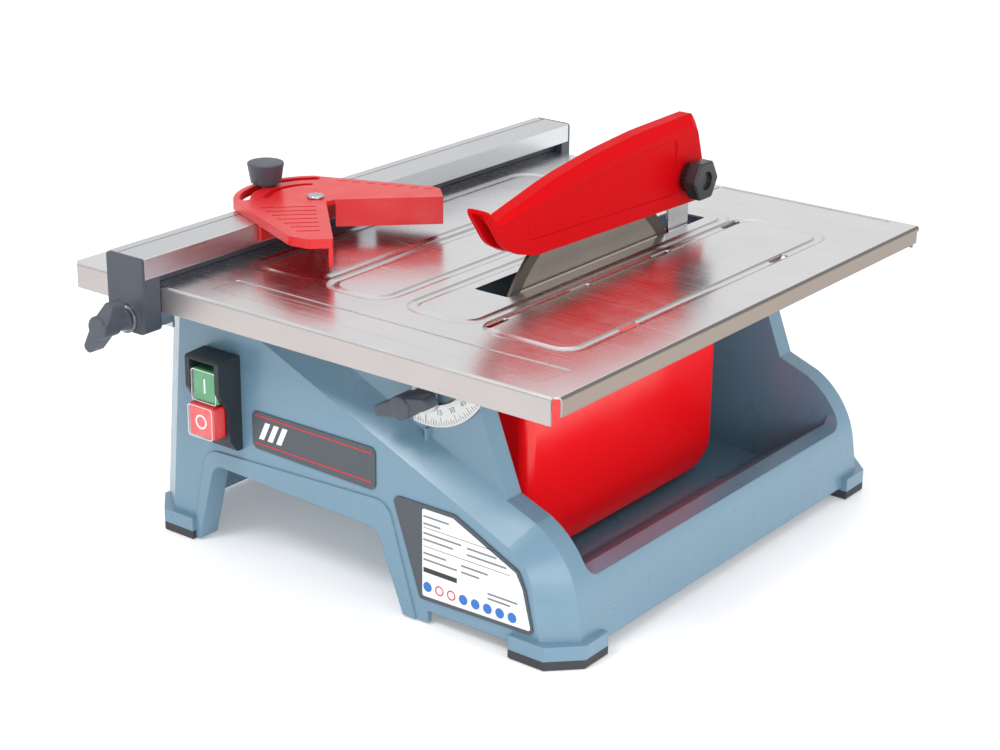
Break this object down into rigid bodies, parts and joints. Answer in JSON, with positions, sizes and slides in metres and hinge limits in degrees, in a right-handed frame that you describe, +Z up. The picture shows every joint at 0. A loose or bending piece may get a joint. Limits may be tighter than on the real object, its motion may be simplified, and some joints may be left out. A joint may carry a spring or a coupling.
{
  "type": "tile cutter",
  "caption": "Table-top wet tile saw with a tilting steel table, guarded diamond blade, rip fence, mitre guide and open water trough.",
  "frame": {"origin": "on the floor, under the middle of the table", "axes": "+X towards the water trough, -Y to the front with the switch, +Z up"},
  "size_m": [0.3654, 0.4721, 0.2501],
  "materials": {
    "housing_paint": "satin",
    "red_plastic": "gloss",
    "dark_plastic": "satin",
    "black_plastic": "gloss",
    "pad_rubber": "matte",
    "plate_label": "satin",
    "green_plastic": "gloss",
    "module_plastic": "satin",
    "stainless": "polished",
    "zinc_steel": "satin",
    "dark_steel": "satin",
    "blade_steel": "brushed",
    "cast_alloy": "cast",
    "anodised": "satin anodised",
    "copper": "varnished",
    "can_white": "satin",
    "cover_steel": "satin"
  },
  "bodies": {
    "base": {"base_housing": "housing_paint", "foot_pads": "pad_rubber", "foot_screws": "zinc_steel", "motor_cover": "cover_steel", "housing_screws": "zinc_steel", "blade_cover": "red_plastic", "cable_gland": "dark_plastic", "name_plate": "plate_label", "rating_plate": "plate_label", "switch_housing": "dark_plastic", "switch_module": "module_plastic", "motor_front_shield": "cast_alloy", "motor_rear_shield": "cast_alloy", "motor_stator": "dark_steel", "motor_windings": "copper", "motor_bearings": "zinc_steel", "motor_bolts": "zinc_steel", "shaft_seal": "pad_rubber", "run_capacitor": "can_white", "riving_knife": "zinc_steel", "knife_bracket": "zinc_steel", "knife_screws": "zinc_steel", "pivot_bolts": "zinc_steel", "bevel_bolts": "zinc_steel", "bevel_washers": "zinc_steel"},
    "rotor": {"motor_shaft": "dark_steel", "rotor_core": "dark_steel", "cooling_fan": "dark_plastic", "inner_flange": "zinc_steel", "outer_flange": "zinc_steel", "arbor_nut": "zinc_steel", "saw_blade": "blade_steel"},
    "blade_guard": {"guard_shell_left": "red_plastic", "guard_shell_right": "red_plastic", "guard_screws": "zinc_steel", "guard_bolt": "dark_plastic"},
    "lift_knob": {"guard_knob": "black_plastic"},
    "table": {"table_top": "stainless", "front_tilt_bracket": "zinc_steel", "back_tilt_bracket": "zinc_steel"},
    "bevel_knob_front": {"front_bevel_knob": "dark_plastic"},
    "bevel_knob_back": {"back_bevel_knob": "dark_plastic"},
    "fence": {"fence_extrusion": "anodised", "fence_strip": "dark_plastic", "front_end_cap": "dark_plastic", "back_end_cap": "dark_plastic", "clamp_jaws": "zinc_steel", "clamp_bolts": "zinc_steel", "clamp_washers": "zinc_steel"},
    "clamp_knob_front": {"front_clamp_knob": "dark_plastic"},
    "clamp_knob_back": {"back_clamp_knob": "dark_plastic"},
    "saddle": {"mitre_saddle": "red_plastic", "mitre_jaw": "dark_plastic", "mitre_stud": "zinc_steel", "mitre_rivet": "zinc_steel"},
    "mitre": {"mitre_arm": "red_plastic"},
    "saddle_knob": {"mitre_knob": "dark_plastic"},
    "on_button": {"green_button": "green_plastic"},
    "off_button": {"red_button": "red_plastic"}
  },
  "joints": [
    {"name": "blade_spin", "type": "hinge", "parent": "base", "child": "rotor", "pos_m": [0, 0, 0.1183], "axis": [1, 0, 0], "continuous": true},
    {"name": "guard_lift", "type": "hinge", "parent": "base", "child": "blade_guard", "pos_m": [0.0615, 0.095, 0.21], "axis": [-1, 0, 0], "range_deg": [0, 20]},
    {"name": "guard_knob_turn", "type": "hinge", "parent": "blade_guard", "child": "lift_knob", "pos_m": [0.076, 0.095, 0.21], "axis": [1, 0, 0], "range_deg": [0, 270]},
    {"name": "table_tilt", "type": "hinge", "parent": "base", "child": "table", "pos_m": [0.0615, 0, 0.164], "axis": [0, 1, 0], "range_deg": [0, 45]},
    {"name": "front_bevel_knob_turn", "type": "hinge", "parent": "base", "child": "bevel_knob_front", "pos_m": [0.0615, -0.17, 0.1348], "axis": [0, -1, 0], "range_deg": [0, 270]},
    {"name": "back_bevel_knob_turn", "type": "hinge", "parent": "base", "child": "bevel_knob_back", "pos_m": [0.0615, 0.17, 0.1348], "axis": [0, 1, 0], "range_deg": [0, 270]},
    {"name": "fence_slide", "type": "slide", "parent": "table", "child": "fence", "axis": [1, 0, 0], "range_m": [-0.045, 0.07]},
    {"name": "front_clamp_knob_turn", "type": "hinge", "parent": "fence", "child": "clamp_knob_front", "pos_m": [-0.121, -0.225, 0.156], "axis": [0, -1, 0], "range_deg": [0, 270]},
    {"name": "back_clamp_knob_turn", "type": "hinge", "parent": "fence", "child": "clamp_knob_back", "pos_m": [-0.121, 0.222, 0.156], "axis": [0, 1, 0], "range_deg": [0, 270]},
    {"name": "mitre_slide", "type": "slide", "parent": "fence", "child": "saddle", "axis": [0, -1, 0], "range_m": [-0.231, 0.094]},
    {"name": "mitre_swing", "type": "hinge", "parent": "saddle", "child": "mitre", "pos_m": [-0.103, -0.0675, 0.199], "axis": [0, 0, 1], "range_deg": [-45, 0]},
    {"name": "mitre_knob_turn", "type": "hinge", "parent": "saddle", "child": "saddle_knob", "pos_m": [-0.14736, -0.06564, 0.21], "axis": [0, 0, 1], "range_deg": [0, 270]},
    {"name": "green_button_press", "type": "slide", "parent": "base", "child": "on_button", "axis": [0, 1, 0], "range_m": [0, 0.003], "stiffness_N_per_m": 400},
    {"name": "red_button_press", "type": "slide", "parent": "base", "child": "off_button", "axis": [0, 1, 0], "range_m": [0, 0.003], "stiffness_N_per_m": 400}
  ]
}
